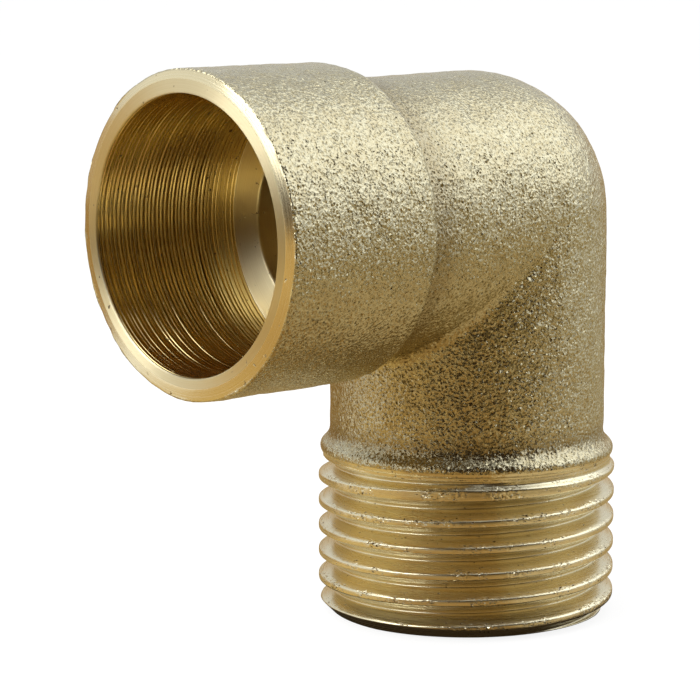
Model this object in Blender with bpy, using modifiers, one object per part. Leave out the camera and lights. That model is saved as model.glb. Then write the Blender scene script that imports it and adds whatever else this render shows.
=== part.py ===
"""Forged brass pipe elbow: a solder cup for 18 mm copper tube, at right angles to a male half-inch thread.

The fitting is one forging. A straight leg runs up into a ball-shaped corner, the neck leaves the ball
sideways and narrows a little with the die's draft, and the cup stands on the neck. Both ends are turned, the
pipe thread is cut into the leg's end, and a hole drilled from each end meets the other at the corner.

Units are metres and +Z is up. The elbow stands on its thread's end face. The origin is on that face, below
the middle of the overall length, and the cup opens towards -X.
"""

import math

import bmesh
import bpy
from mathutils import Vector

MM = 0.001

# Solder cup, at the end of the horizontal arm
CUP_BORE_DIAMETER = 18.1 * MM
CUP_WALL = 1.55 * MM
CUP_DEPTH = 11.8 * MM
CUP_OUTSIDE_LENGTH = 12.6 * MM
CUP_SHOULDER_ROUNDING = 0.9 * MM
CENTRE_TO_MOUTH = 25.55 * MM

# Turned rim of the cup: a flat ring beside the bore, then a chamfer out to the forged skin
RIM_FLAT_WIDTH = 0.8 * MM
RIM_CHAMFER_DEPTH = 0.25 * MM
BORE_EDGE_BREAK = 0.12 * MM

# Forged arms and corner; the neck has the leg's diameter at the corner and its own where it meets the cup
NECK_DIAMETER = 18.9 * MM
LEG_DIAMETER = 19.3 * MM
INNER_CORNER_FILLET = 0.9 * MM
CENTRE_TO_THREAD_END = 28.3 * MM

# Threaded end: right-hand half-inch pipe thread; depth and root are shares of the pitch
THREAD_MAJOR_DIAMETER = 20.955 * MM
THREAD_PITCH = 25.4 * MM / 14
THREAD_DEPTH_SHARE = 0.6403
THREAD_ROOT_SHARE = 0.1
THREAD_FLANK_ANGLE = math.radians(27.5)
THREAD_LENGTH = 10.4 * MM
THREAD_END_CHAMFER = 0.8 * MM
FIRST_GROOVE_HEIGHT = 0.6 * MM
RUNOUT_DEPTH = 0.45 * MM
RUNOUT_WIDTH = 0.75 * MM

# Forged collar above the thread: a bead that stays just below the thread's crests and flares in to the leg
COLLAR_BELOW_CREST = 0.13 * MM
COLLAR_ROUNDING = 0.6 * MM
COLLAR_BEAD_TURN = 50
COLLAR_FLARE_HEIGHT = 0.95 * MM
COLLAR_FLARE_SINK = 0.05 * MM

# Waterway: one hole drilled along the neck and one up the leg
NECK_HOLE_DIAMETER = 13.2 * MM
LEG_HOLE_DIAMETER = 14.0 * MM
DRILL_POINT_ANGLE = math.radians(118)

# How far a cutter stands proud of what it cuts
CUTTER_CLEARANCE = 2.0 * MM
GROOVE_CLEARANCE = 0.25 * MM

# Facets of the round forms
ROUND_STEPS = 48
CORNER_STEPS = 20
SMALL_ARC_STEPS = 5
SMOOTH_ANGLE = math.radians(30)
HAIRLINE = 0.002 * MM

# Shot-blasted brass
BRASS_COLOUR = (0.47, 0.35, 0.16, 1.0)
BRASS_ROUGHNESS = 0.5

# Sizes that follow from those above
CUP_BORE_RADIUS = CUP_BORE_DIAMETER / 2
CUP_RADIUS = CUP_BORE_RADIUS + CUP_WALL
NECK_RADIUS = NECK_DIAMETER / 2
LEG_RADIUS = LEG_DIAMETER / 2
NECK_DRAFT = (LEG_RADIUS - NECK_RADIUS) / (CENTRE_TO_MOUTH - CUP_OUTSIDE_LENGTH)
THREAD_RADIUS = THREAD_MAJOR_DIAMETER / 2
THREAD_DEPTH = THREAD_PITCH * THREAD_DEPTH_SHARE
COLLAR_RADIUS = THREAD_RADIUS - COLLAR_BELOW_CREST
NECK_HOLE_RADIUS = NECK_HOLE_DIAMETER / 2
LEG_HOLE_RADIUS = LEG_HOLE_DIAMETER / 2
COLLAR_HEIGHT = THREAD_LENGTH + RUNOUT_WIDTH + COLLAR_ROUNDING * math.sin(math.radians(COLLAR_BEAD_TURN))
LEG_AXIS_X = (CENTRE_TO_MOUTH - max(THREAD_RADIUS, LEG_RADIUS)) / 2
CORNER = Vector((LEG_AXIS_X, 0.0, CENTRE_TO_THREAD_END))
LEG_FOOT = Vector((LEG_AXIS_X, 0.0, 0.0))

UPRIGHT = (0.0, 0.0, 0.0)
TOWARDS_CUP = (0.0, -math.pi / 2, 0.0)


def clear_scene():
    """Remove the objects and collections that the scene starts with."""
    for scene_object in list(bpy.data.objects):
        bpy.data.objects.remove(scene_object)
    for collection in list(bpy.data.collections):
        bpy.data.collections.remove(collection)


def new_collection(name):
    """Make a collection in the scene."""
    collection = bpy.data.collections.new(name)
    bpy.context.scene.collection.children.link(collection)
    return collection


def brass_material():
    """Make the blasted brass of the whole fitting."""
    material = bpy.data.materials.new("blasted_brass")
    material.use_nodes = True
    shader = material.node_tree.nodes["Principled BSDF"]
    shader.inputs["Base Color"].default_value = BRASS_COLOUR
    shader.inputs["Metallic"].default_value = 1.0
    shader.inputs["Roughness"].default_value = BRASS_ROUGHNESS
    return material


def arc(centre_radius, centre_height, radius, start_degrees, end_degrees):
    """Give an arc of a turned profile as (radius, height) points; 0 degrees points outwards."""
    points = []
    for step in range(SMALL_ARC_STEPS + 1):
        angle = math.radians(start_degrees + (end_degrees - start_degrees) * step / SMALL_ARC_STEPS)
        points.append((centre_radius + radius * math.cos(angle), centre_height + radius * math.sin(angle)))
    return points


def new_object(name, shape, collection):
    """Turn a bmesh into an object."""
    mesh = bpy.data.meshes.new(name)
    shape.to_mesh(mesh)
    shape.free()
    created = bpy.data.objects.new(name, mesh)
    collection.objects.link(created)
    return created


def new_tool(name, shape, place, rotation, collection):
    """Turn a bmesh into a tool, which only joins to the body or cuts it."""
    tool = new_object(name, shape, collection)
    tool.location = place
    tool.rotation_euler = rotation
    tool.hide_render = True
    tool.display_type = 'WIRE'
    return tool


def turned(name, profile, place, rotation, collection):
    """Turn a tool from a profile of (radius, height) points, listed from top to bottom, about its own Z."""
    outline = bmesh.new()
    points = [outline.verts.new((radius, 0.0, height)) for radius, height in profile]
    for upper, lower in zip(points, points[1:]):
        outline.edges.new((upper, lower))
    tool = new_tool(name, outline, place, rotation, collection)
    screw = tool.modifiers.new("Turn", 'SCREW')
    screw.steps = ROUND_STEPS
    screw.render_steps = ROUND_STEPS
    screw.use_merge_vertices = True
    screw.merge_threshold = 1e-6
    return tool


def combine(body, operation, tool):
    """Join a tool to the body, or cut it out."""
    boolean = body.modifiers.new(tool.name, 'BOOLEAN')
    boolean.operation = operation
    boolean.solver = 'EXACT'
    boolean.object = tool


def way_out(start, direction, radius, growth=0.0):
    """Measure along a ray to where it leaves a circle or ball about the origin; 0 if it starts outside.

    The radius is the one beside the start, and grows by this much for each unit along the ray.
    """
    square = direction.dot(direction) - growth * growth
    along = start.dot(direction) - radius * growth
    room = radius * radius - start.dot(start)
    if square <= 0 or room <= 0:
        return 0.0
    return (math.sqrt(along * along + square * room) - along) / square


def neck_radius(place):
    """Give the neck's radius beside a point about the corner; it narrows towards the cup, which is at -X."""
    return LEG_RADIUS + NECK_DRAFT * place.x


def forging_reach(start, direction, fillet):
    """Measure from a point on the centre line to the forged skin.

    The leg stands below the neck's axis, the neck lies on the cup's side of the leg's axis, and the ball is
    on the crossing of the two. The fillet rounds the crease between leg and neck.
    """
    leg = way_out(start.xy, direction.xy, LEG_RADIUS)
    if direction.z > 0:
        leg = min(leg, -start.z / direction.z)
    neck = way_out(start.yz, direction.yz, neck_radius(start), NECK_DRAFT * direction.x)
    if direction.x > 0:
        neck = min(neck, -start.x / direction.x)
    ball = way_out(start, direction, LEG_RADIUS)
    blend = 4 * (math.sqrt(2) - 1) * fillet
    crease = max(blend - abs(leg - neck), 0.0)
    rounding = crease * crease / (4 * blend) if blend > 0 else 0.0
    return max(leg + rounding, neck + rounding, ball)


def section(shape, centre, outward, reach):
    """Add one ring of the forging's skin, half a facet round from the turned shapes that join it."""
    ring = []
    for step in range(ROUND_STEPS):
        angle = math.tau * (step + 0.5) / ROUND_STEPS
        direction = math.cos(angle) * outward + math.sin(angle) * Vector((0.0, 1.0, 0.0))
        ring.append(shape.verts.new(CORNER + centre + direction * reach(centre, direction, angle)))
    return ring


def corner_sections(shape):
    """Add the rings round the bend, on planes that fan out from a line beside the inner corner."""
    rings = []
    beside = LEG_RADIUS + INNER_CORNER_FILLET
    for step in range(CORNER_STEPS + 1):
        turn = math.pi / 2 * step / CORNER_STEPS
        if 2 * step < CORNER_STEPS:
            centre = Vector((0.0, 0.0, beside * (math.tan(turn) - 1)))
        else:
            centre = Vector((beside * (1 / math.tan(turn) - 1), 0.0, 0.0))
        outward = Vector((math.cos(turn), 0.0, math.sin(turn)))

        def reach(start, direction, angle):
            return forging_reach(start, direction, INNER_CORNER_FILLET * max(-math.cos(angle), 0.0))

        rings.append(section(shape, centre, outward, reach))
    return rings


def forging(collection):
    """Loft the forged skin: the leg from inside the collar, the bend, and the neck to inside the cup."""
    shape = bmesh.new()
    leg_start = Vector((0.0, 0.0, COLLAR_HEIGHT - CENTRE_TO_THREAD_END))
    neck_end = Vector((CUP_OUTSIDE_LENGTH / 2 - CENTRE_TO_MOUTH, 0.0, 0.0))
    rings = [section(shape, leg_start, Vector((1.0, 0.0, 0.0)), lambda *ray: LEG_RADIUS)]
    rings += corner_sections(shape)
    rings.append(section(shape, neck_end, Vector((0.0, 0.0, 1.0)), lambda *ray: neck_radius(neck_end)))
    for lower, upper in zip(rings, rings[1:]):
        for step in range(ROUND_STEPS):
            following = (step + 1) % ROUND_STEPS
            shape.faces.new((lower[step], lower[following], upper[following], upper[step]))
    shape.faces.new(reversed(rings[0]))
    shape.faces.new(rings[-1])
    bmesh.ops.triangulate(shape, faces=shape.faces)
    return new_object("elbow_body", shape, collection)


def cup(collection):
    """Turn the outside of the cup: rim, chamfer, forged skin, and the rounded shoulder down to the neck."""
    back = CENTRE_TO_MOUTH - CUP_OUTSIDE_LENGTH
    profile = [
        (0.0, CENTRE_TO_MOUTH),
        (CUP_BORE_RADIUS + RIM_FLAT_WIDTH, CENTRE_TO_MOUTH),
        (CUP_RADIUS, CENTRE_TO_MOUTH - RIM_CHAMFER_DEPTH),
    ]
    rounding = CUP_SHOULDER_ROUNDING
    profile += arc(CUP_RADIUS - rounding, back + rounding, rounding, 0, -90)
    profile += [(0.0, back)]
    return turned("cup", profile, CORNER, TOWARDS_CUP, collection)


def threaded_end(collection):
    """Turn the thread's blank with its end chamfer, its run-out, and the collar that flares to the leg."""
    bead_centre = COLLAR_RADIUS - COLLAR_ROUNDING
    bead = arc(bead_centre, COLLAR_HEIGHT, COLLAR_ROUNDING, COLLAR_BEAD_TURN, -COLLAR_BEAD_TURN)
    bead_top = bead[0][1]
    flare_top = bead_top + COLLAR_FLARE_HEIGHT
    profile = [(0.0, flare_top), (LEG_RADIUS - COLLAR_FLARE_SINK, flare_top)]
    profile += bead
    profile += [
        (THREAD_RADIUS - RUNOUT_DEPTH, THREAD_LENGTH + RUNOUT_DEPTH),
        (THREAD_RADIUS, THREAD_LENGTH),
        (THREAD_RADIUS, THREAD_END_CHAMFER),
        (THREAD_RADIUS - THREAD_END_CHAMFER, 0.0),
        (0.0, 0.0),
    ]
    return turned("threaded_end", profile, LEG_FOOT, UPRIGHT, collection)


def thread_groove(collection):
    """Loft the die's tooth along the thread's helix.

    The tooth enters below the end face and backs out of the metal over the run-out. Its sections lie a
    quarter of a facet round from the blank's, so that no edges fall together.
    """
    shape = bmesh.new()
    outside = THREAD_RADIUS + GROOVE_CLEARANCE
    root_half = THREAD_PITCH * THREAD_ROOT_SHARE / 2
    steps = math.ceil((THREAD_LENGTH + RUNOUT_WIDTH - FIRST_GROOVE_HEIGHT) / THREAD_PITCH * ROUND_STEPS)
    teeth = []
    for step in range(-ROUND_STEPS, steps + 1):
        turn = (step + 0.25) / ROUND_STEPS
        height = FIRST_GROOVE_HEIGHT + THREAD_PITCH * turn
        backed_out = max((height - THREAD_LENGTH) / RUNOUT_WIDTH, 0.0)
        root = THREAD_RADIUS - THREAD_DEPTH + (THREAD_DEPTH + GROOVE_CLEARANCE / 2) * min(backed_out, 1.0)
        mouth_half = root_half + (outside - root) * math.tan(THREAD_FLANK_ANGLE)
        across = Vector((math.cos(math.tau * turn), math.sin(math.tau * turn), 0.0))
        corners = ((root, -root_half), (outside, -mouth_half), (outside, mouth_half), (root, root_half))
        teeth.append([shape.verts.new(across * radius + Vector((0.0, 0.0, height + rise)))
                      for radius, rise in corners])
    for tooth, following in zip(teeth, teeth[1:]):
        for corner in range(4):
            after = (corner + 1) % 4
            shape.faces.new((tooth[corner], tooth[after], following[after], following[corner]))
    shape.faces.new(reversed(teeth[0]))
    shape.faces.new(teeth[-1])
    bmesh.ops.triangulate(shape, faces=shape.faces)
    bmesh.ops.recalc_face_normals(shape, faces=shape.faces)
    return new_tool("thread_groove", shape, LEG_FOOT, UPRIGHT, collection)


def drill_point(radius):
    """Give the height of a drill's point."""
    return radius / math.tan(DRILL_POINT_ANGLE / 2)


def cup_bore(collection):
    """Turn the cutter for the cup, its flat tube stop, and the hole drilled on through the neck."""
    beyond = CENTRE_TO_MOUTH + CUTTER_CLEARANCE
    stop = CENTRE_TO_MOUTH - CUP_DEPTH
    profile = [
        (0.0, beyond),
        (CUP_BORE_RADIUS + BORE_EDGE_BREAK + CUTTER_CLEARANCE, beyond),
        (CUP_BORE_RADIUS, CENTRE_TO_MOUTH - BORE_EDGE_BREAK),
        (CUP_BORE_RADIUS, stop),
        (NECK_HOLE_RADIUS, stop),
        (NECK_HOLE_RADIUS, 0.0),
        (0.0, -drill_point(NECK_HOLE_RADIUS)),
    ]
    return turned("cup_bore", profile, CORNER, TOWARDS_CUP, collection)


def leg_bore(collection):
    """Turn the cutter for the hole drilled up the leg."""
    profile = [
        (0.0, CENTRE_TO_THREAD_END + drill_point(LEG_HOLE_RADIUS)),
        (LEG_HOLE_RADIUS, CENTRE_TO_THREAD_END),
        (LEG_HOLE_RADIUS, -CUTTER_CLEARANCE),
        (0.0, -CUTTER_CLEARANCE),
    ]
    return turned("leg_bore", profile, LEG_FOOT, UPRIGHT, collection)


def finish(body):
    """Apply the joins and cuts, weld the hairlines that they leave, and shade the round faces smooth."""
    evaluated = body.evaluated_get(bpy.context.evaluated_depsgraph_get())
    mesh = bpy.data.meshes.new_from_object(evaluated)
    body.modifiers.clear()
    body.data = mesh
    shape = bmesh.new()
    shape.from_mesh(mesh)
    bmesh.ops.remove_doubles(shape, verts=shape.verts, dist=HAIRLINE)
    bmesh.ops.triangulate(shape, faces=shape.faces)
    shape.to_mesh(mesh)
    shape.free()
    mesh.shade_smooth()
    mesh.set_sharp_from_angle(angle=SMOOTH_ANGLE)


def build():
    """Build the elbow."""
    clear_scene()
    parts = new_collection("pipe_elbow")
    tools = new_collection("joining_and_cutting_tools")
    body = forging(parts)
    body.data.materials.append(brass_material())
    combine(body, 'UNION', cup(tools))
    combine(body, 'UNION', threaded_end(tools))
    combine(body, 'DIFFERENCE', thread_groove(tools))
    combine(body, 'DIFFERENCE', cup_bore(tools))
    combine(body, 'DIFFERENCE', leg_bore(tools))
    finish(body)


build()
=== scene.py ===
"""Dress a forged brass pipe elbow: blasted forged skin, bored solder cup, cut male thread.

The fitting is one piece of metal, so it is one closed skin here too: a run of rings with the same number
of points each. The run starts at the thread's end, goes up the outside to the cup's rim, and comes back down
through the cup and the two drilled holes to where it began. Each stretch of rings carries the finish of the
tool, or the die, that made it.

Shapes are worked out in millimetres about the corner, where the leg's axis crosses the neck's, and are
placed in the row frame in metres.
"""

import logging
import math
from dataclasses import dataclass, field, replace
from enum import Enum
from typing import Callable

import bpy
import numpy as np
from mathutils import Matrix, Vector


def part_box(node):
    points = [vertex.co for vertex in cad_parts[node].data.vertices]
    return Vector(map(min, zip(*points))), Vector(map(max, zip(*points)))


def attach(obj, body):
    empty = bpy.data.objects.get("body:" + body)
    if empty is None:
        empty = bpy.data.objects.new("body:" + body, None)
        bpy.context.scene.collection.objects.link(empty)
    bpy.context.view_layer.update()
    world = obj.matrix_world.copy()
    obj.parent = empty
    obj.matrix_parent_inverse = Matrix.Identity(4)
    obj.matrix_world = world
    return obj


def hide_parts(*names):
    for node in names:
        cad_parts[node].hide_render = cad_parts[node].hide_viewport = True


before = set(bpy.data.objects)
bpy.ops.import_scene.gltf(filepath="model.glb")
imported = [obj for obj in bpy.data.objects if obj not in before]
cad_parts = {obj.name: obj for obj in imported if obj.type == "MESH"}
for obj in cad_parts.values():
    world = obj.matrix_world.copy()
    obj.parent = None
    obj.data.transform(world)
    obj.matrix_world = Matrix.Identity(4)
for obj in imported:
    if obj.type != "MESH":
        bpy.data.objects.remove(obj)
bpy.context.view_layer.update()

MM = 0.001
LOG = logging.getLogger("pipe_elbow")

# Points in every ring of the skin, their angles, and the usual distance between rings in millimetres
RING_POINTS = 256
ROUND = np.linspace(0.0, math.tau, RING_POINTS, endpoint=False)
RING_STEP = 0.26

# How often a ray is halved to find the skin, and the shortest length that is divided by
HALVINGS = 40
TINY = 1e-9

# Shortest and longest of a set of random waves, as shares of the usual one
WAVE_RANGE = (0.7, 1.4)

# Usual length of a grain's random lean, which is drawn from a cube of side 1 about the cube's middle, and how
# steeply the lean grows from the usual grains to the rare ones
CUBE_MIDDLE = (0.5, 0.5, 0.5)
USUAL_SPREAD = 0.6
RARE_POWER = 2.0

# Turn of the shader's tangent that fans highlights out across the rings of a cut surface
ACROSS_RINGS = 0.25

# Mesh layer with the share of painted shade in the corners of the forged skin
SCALE_LAYER = "scale_kept"

# Socket numbers of the Mix node when it mixes colours
MIX_FACTOR, MIX_FROM, MIX_TO, MIX_OUT = 0, 6, 7, 2


class Surface(Enum):
    """How a stretch of the skin was made; the value is its material slot."""

    FORGED = 0
    TURNED = 1
    BORED = 2
    THREADED = 3
    DRILLED = 4
    CHAMFERED = 5
    FACED = 6
    DRILLED_LEG = 7


class Arm(Enum):
    """The two arms of the elbow."""

    LEG = "leg"
    NECK = "neck"


@dataclass(frozen=True)
class Band:
    """A stretch of rings with one finish.

    Attributes:
        rings: Points in millimetres about the corner, shaped (rings, points, 3).
        surface: How this stretch was made.
        scale: Share of painted shade in the corners that each ring takes, or None where there is none.
    """

    rings: np.ndarray
    surface: Surface
    scale: np.ndarray | None = None


# Numbers, curves and rings

def linear_colour(code: str) -> tuple[float, float, float, float]:
    """Turn an sRGB hex colour to Blender's linear colour.

    Args:
        code: Six hex digits, with or without a leading #.

    Returns:
        Linear red, green, blue and an alpha of 1.
    """
    channels = [int(code.lstrip("#")[place:place + 2], 16) / 255 for place in (0, 2, 4)]
    linear = [c / 12.92 if c <= 0.04045 else ((c + 0.055) / 1.055) ** 2.4 for c in channels]
    return (*linear, 1.0)


def per_metre(size_mm: float) -> float:
    """Give the texture's Scale setting for features this many millimetres across."""
    return 1 / (size_mm * MM)


def waves(points: np.ndarray, length: float, seed: int, count: int = 48) -> np.ndarray:
    """Sum seeded plane waves into a smooth random field.

    Args:
        points: Points in millimetres, the last axis being x, y, z.
        length: Typical wavelength in millimetres.
        seed: Number that fixes the field.
        count: How many waves are summed.

    Returns:
        One value per point, with a standard deviation of about 1.
    """
    random = np.random.default_rng(seed)
    heading = random.normal(size=(count, 3))
    heading /= np.linalg.norm(heading, axis=1, keepdims=True)
    number = math.tau / (length * random.uniform(*WAVE_RANGE, count))
    start = random.uniform(0.0, math.tau, count)
    return np.cos(points @ (heading * number[:, None]).T + start).sum(axis=-1) * math.sqrt(2 / count)


def ramp(values: np.ndarray, low: float, high: float) -> np.ndarray:
    """Ease from 0 at low to 1 at high."""
    share = np.clip((values - low) / (high - low), 0.0, 1.0)
    return share * share * (3 - 2 * share)


def evenly(start: float, end: float, step: float = RING_STEP) -> np.ndarray:
    """Space values evenly from start to end, about a step apart."""
    return np.linspace(start, end, max(2, round(abs(end - start) / step) + 1))


def arc(centre: tuple[float, float], radius: float, start: float, end: float, steps: int) -> np.ndarray:
    """Give an arc of a turned profile.

    Args:
        centre: Place along the axis, and distance from it.
        radius: Radius of the arc.
        start: Start angle in degrees; 0 points along the axis and 90 away from it.
        end: End angle in degrees.
        steps: Number of stretches.

    Returns:
        Rows of place along the axis and distance from it.
    """
    angle = np.radians(np.linspace(start, end, steps + 1))
    return np.column_stack((centre[0] + radius * np.cos(angle), centre[1] + radius * np.sin(angle)))


def sweep(start: tuple[float, float], bend: tuple[float, float], end: tuple[float, float],
          steps: int) -> np.ndarray:
    """Give a curve of a turned profile.

    Args:
        start: Where the curve begins, as place along the axis and distance from it.
        bend: Where the lines cross along which the curve leaves its start and meets its end.
        end: Where the curve ends.
        steps: Number of stretches.

    Returns:
        Rows of place along the axis and distance from it.
    """
    share = np.linspace(0.0, 1.0, steps + 1)[:, None]
    first, middle, last = np.array(start), np.array(bend), np.array(end)
    return (1 - share) ** 2 * first + 2 * share * (1 - share) * middle + share ** 2 * last


def level_ring(place: float, across: np.ndarray) -> np.ndarray:
    """Give a flat face of a turned profile: one place along the axis, and these distances from it."""
    return np.column_stack((np.full(len(across), place), across))


def rings_about(arm: Arm, along: np.ndarray, radius: np.ndarray) -> np.ndarray:
    """Place rings about an arm's axis.

    Args:
        arm: The leg counts upwards from the corner, the neck from the corner towards the cup's mouth.
        along: Place of each ring along the axis.
        radius: Radius of each ring, or of each point of each ring.

    Returns:
        Points about the corner, shaped (rings, points, 3).
    """
    radius = np.broadcast_to(radius.reshape(len(along), -1), (len(along), RING_POINTS))
    place = np.broadcast_to(along[:, None], radius.shape)
    across, sideways = radius * np.cos(ROUND), radius * np.sin(ROUND)
    if arm is Arm.LEG:
        return np.stack((across, sideways, place), axis=-1)
    return np.stack((-place, sideways, across), axis=-1)


def turned(arm: Arm, profile: np.ndarray) -> np.ndarray:
    """Turn a profile, rows of place along the axis and distance from it, about an arm's axis."""
    return rings_about(arm, profile[:, 0], profile[:, 1])


def bent(side: float, drop: float, inside: Callable[[np.ndarray, np.ndarray], np.ndarray],
         steps: int) -> np.ndarray:
    """Loft the rings round the corner, from the leg to the neck.

    The rings lie on planes that fan out from a line beside the inner corner, and each point is found by
    halving along a ray from the ring's middle.

    Args:
        side: Distance of that line from the leg's axis.
        drop: Distance of that line below the neck's axis.
        inside: Given points and each ray's angle, gives less than 0 inside the form.
        steps: Number of stretches between rings.

    Returns:
        Points about the corner, shaped (rings, points, 3).
    """
    turn = np.linspace(0.0, math.pi / 2, steps + 1)
    outward = np.stack((np.cos(turn), np.zeros_like(turn), np.sin(turn)), axis=-1)
    middle = outward / np.hypot(np.cos(turn) / side, np.sin(turn) / drop)[:, None] - (side, 0.0, drop)
    sideways = np.array((0.0, 1.0, 0.0))
    rays = np.cos(ROUND)[:, None] * outward[:, None, :] + np.sin(ROUND)[:, None] * sideways
    near, far = np.zeros(rays.shape[:2]), np.full(rays.shape[:2], 2 * (side + drop))
    for _ in range(HALVINGS):
        half = (near + far) / 2
        within = inside(middle[:, None, :] + rays * half[..., None], ROUND) < 0
        near, far = np.where(within, half, near), np.where(within, far, half)
    return middle[:, None, :] + rays * near[..., None]


def joined(first: np.ndarray, second: np.ndarray, rounding: np.ndarray) -> np.ndarray:
    """Join two forms with a rounded crease.

    Args:
        first: Distance outside the first form, less than 0 inside.
        second: Distance outside the second form.
        rounding: Radius of the crease.

    Returns:
        Distance outside both, less than 0 inside either.
    """
    crease = np.hypot(np.maximum(rounding - first, 0.0), np.maximum(rounding - second, 0.0))
    return np.maximum(rounding, np.minimum(first, second)) - crease


def outward_of(rings: np.ndarray) -> np.ndarray:
    """Find which way is out of the metal.

    Args:
        rings: Points of a stretch of rings.

    Returns:
        A unit vector for each point.
    """
    around = np.roll(rings, -1, axis=1) - np.roll(rings, 1, axis=1)
    along = np.gradient(rings, axis=0)
    normal = np.cross(around, along)
    return normal / np.maximum(np.linalg.norm(normal, axis=-1, keepdims=True), TINY)


# Sub-assemblies

@dataclass
class ForgedArms:
    """The leg, the ball-shaped corner and the neck, as the die left them.

    Attributes:
        leg_radius: Radius of the leg and of the ball.
        neck_radius: Radius of the neck where the cup begins.
        draft_length: Distance over which the neck narrows from the ball to the cup.
        fillet: Rounding in the crease of the inner corner.
        peel: Height in millimetres of each layer of unevenness, by its wavelength.
        dents: Number of small dents from tumbling with other forgings.
        dent_depth: Depth of the deepest dent.
        dent_share: Least and most depth of a dent, as shares of the deepest.
        dent_width: Least and most half-width of a dent.
        scale_share: Share of painted shade at the bottom of a corner.
    """

    leg_radius: float = 9.65
    neck_radius: float = 9.45
    draft_length: float = 12.95
    fillet: float = 0.9
    corner_steps: int = 112
    peel: dict[float, float] = field(default_factory=lambda: {0.75: 0.006, 1.6: 0.010, 4.5: 0.018})
    peel_seed: int = 11
    dents: int = 260
    dent_seed: int = 29
    dent_depth: float = 0.03
    dent_share: tuple[float, float] = (0.3, 1.0)
    dent_width: tuple[float, float] = (0.22, 0.6)
    scale_share: float = 0.36

    def neck_at(self, reach: np.ndarray) -> np.ndarray:
        """Give the neck's radius at a distance from the corner; the die's draft narrows it."""
        return np.interp(reach, (0.0, self.draft_length), (self.leg_radius, self.neck_radius))

    def inside_forging(self, points: np.ndarray, angle: np.ndarray) -> np.ndarray:
        """Measure from points to the skin of leg, ball and neck.

        Args:
            points: Points about the corner.
            angle: Angle of each point's ray; the inner corner is at half a turn.

        Returns:
            Distance outside the skin, less than 0 inside.
        """
        x, y, z = points[..., 0], points[..., 1], points[..., 2]
        below = np.minimum(z, 0.0) - z
        beside = np.minimum(x, 0.0) - x
        leg = np.sqrt(x ** 2 + y ** 2 + below ** 2) - self.leg_radius
        neck = np.sqrt(z ** 2 + y ** 2 + beside ** 2) - self.neck_at(-x)
        return joined(leg, neck, self.fillet * np.maximum(-np.cos(angle), 0.0))

    def bands(self, leg_from: float, neck_to: float) -> list[Band]:
        """Loft the skin from the collar, round the corner, to the cup's shoulder.

        Args:
            leg_from: Height of the collar's top about the corner.
            neck_to: Distance from the corner to the foot of the cup's shoulder.

        Returns:
            One band of forged skin.
        """
        side = drop = self.leg_radius + self.fillet
        heights = evenly(leg_from, -drop)[1:-1]
        reaches = evenly(side, neck_to)[1:-1]
        leg = rings_about(Arm.LEG, heights, np.full(len(heights), self.leg_radius))
        neck = rings_about(Arm.NECK, reaches, self.neck_at(reaches))
        corner = bent(side, drop, self.inside_forging, self.corner_steps)
        return [Band(np.concatenate((leg, corner, neck)), Surface.FORGED)]

    def scale_kept(self, rings: np.ndarray, corners: dict[int, float]) -> np.ndarray:
        """Give the share of painted shade that each ring takes, most of it in the corners where shade falls.

        Args:
            rings: Points about the corner.
            corners: How far the painted shade reaches from each corner, by the corner's deepest ring.

        Returns:
            One share per ring.
        """
        steps = np.linalg.norm(np.diff(rings[:, RING_POINTS // 4], axis=0), axis=1)
        path = np.concatenate(((0.0,), steps.cumsum()))
        return sum(self.scale_share * np.exp(-((path - path[ring]) / reach) ** 2)
                   for ring, reach in corners.items())

    def roughen(self, rings: np.ndarray, share: np.ndarray) -> np.ndarray:
        """Give a stretch of skin the unevenness of the die and its dents.

        Args:
            rings: Points about the corner.
            share: How much of the unevenness each ring takes.

        Returns:
            The moved points.
        """
        layers = enumerate(self.peel.items(), self.peel_seed)
        height = sum(tall * waves(rings, length, seed) for seed, (length, tall) in layers)
        random = np.random.default_rng(self.dent_seed)
        for _ in range(self.dents):
            spot = rings[random.integers(rings.shape[0]), random.integers(rings.shape[1])]
            width = random.uniform(*self.dent_width)
            square = ((rings - spot) ** 2).sum(axis=-1)
            height -= self.dent_depth * random.uniform(*self.dent_share) * np.exp(-square / width ** 2)
        return rings + outward_of(rings) * (height * share[:, None])[..., None]


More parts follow.
